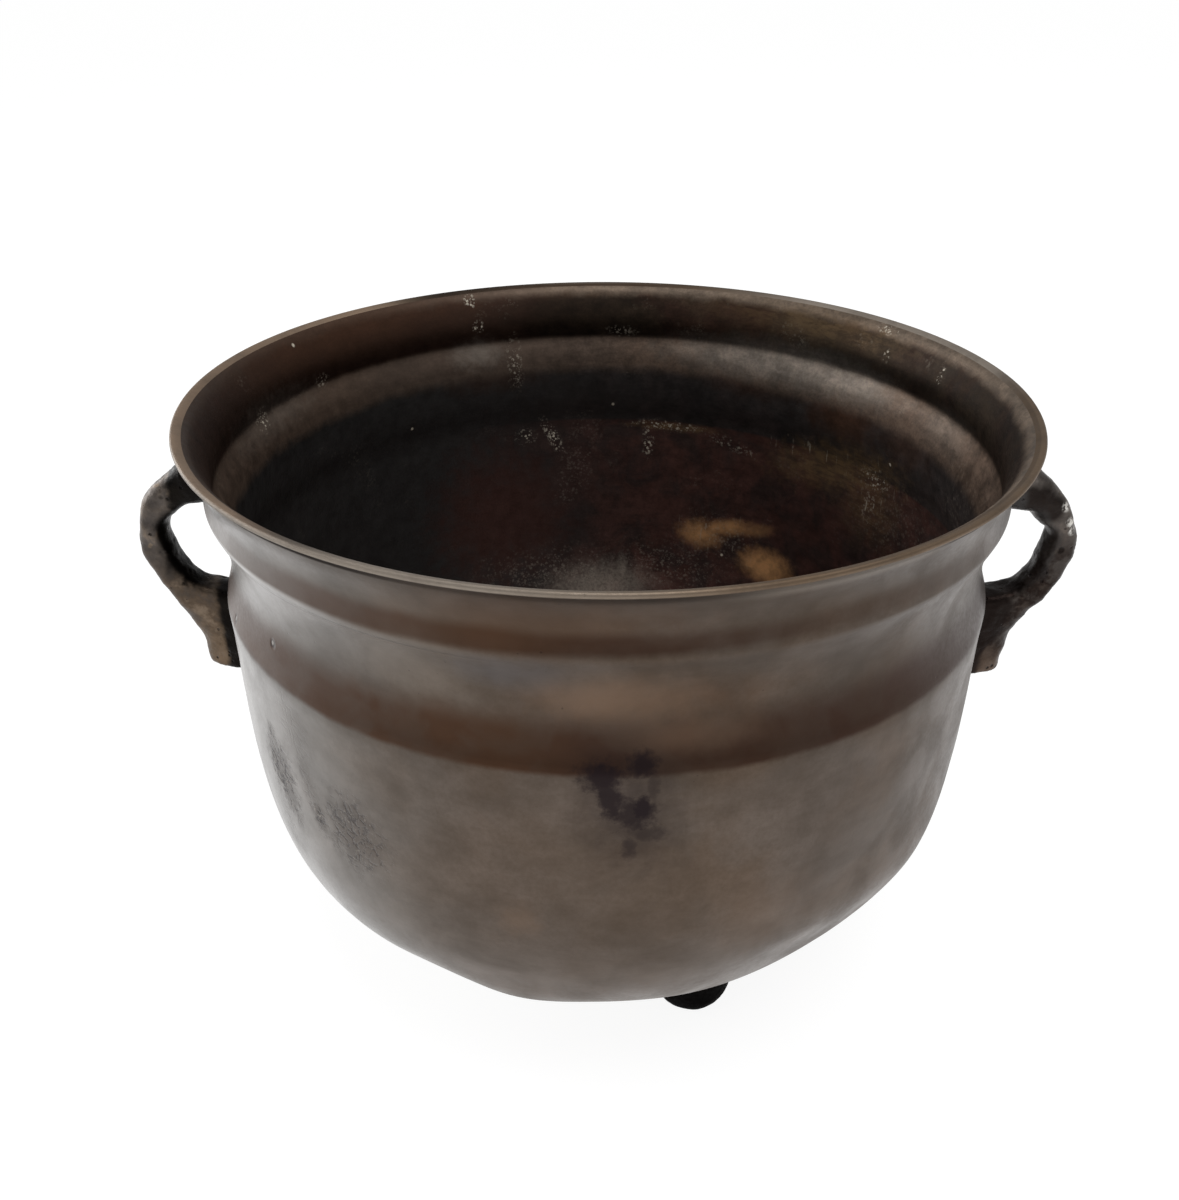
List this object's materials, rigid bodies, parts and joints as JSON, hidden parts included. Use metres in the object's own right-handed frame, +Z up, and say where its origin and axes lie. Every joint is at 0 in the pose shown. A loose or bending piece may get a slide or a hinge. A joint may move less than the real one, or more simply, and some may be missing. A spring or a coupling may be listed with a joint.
{
  "type": "bronze cauldron",
  "caption": "Round-bottomed bronze cooking cauldron with a flared lip, coved neck, open ear handles and stub feet.",
  "frame": {"origin": "on the bowl's axis, in the plane of the feet's soles", "axes": "+Z up along the bowl's axis, +X through the right handle, -Y towards the viewer of the picture"},
  "size_m": [0.2882, 0.24, 0.185],
  "materials": {
    "bowl_bronze": "turned, with a satin dark brown patina",
    "handle_bronze": "rough cast, with a dark brown patina",
    "foot_bronze": "rough cast and blackened with soot",
    "braze": "matt, darkened braze"
  },
  "bodies": {
    "root": {"bowl": "bowl_bronze", "left_handle": "handle_bronze", "right_handle": "handle_bronze", "left_handle_arm_braze": "braze", "left_handle_leg_braze": "braze", "right_handle_arm_braze": "braze", "right_handle_leg_braze": "braze", "front_foot": "foot_bronze", "rear_foot": "foot_bronze", "left_foot": "foot_bronze", "front_foot_braze": "braze", "rear_foot_braze": "braze", "left_foot_braze": "braze"}
  },
  "joints": []
}
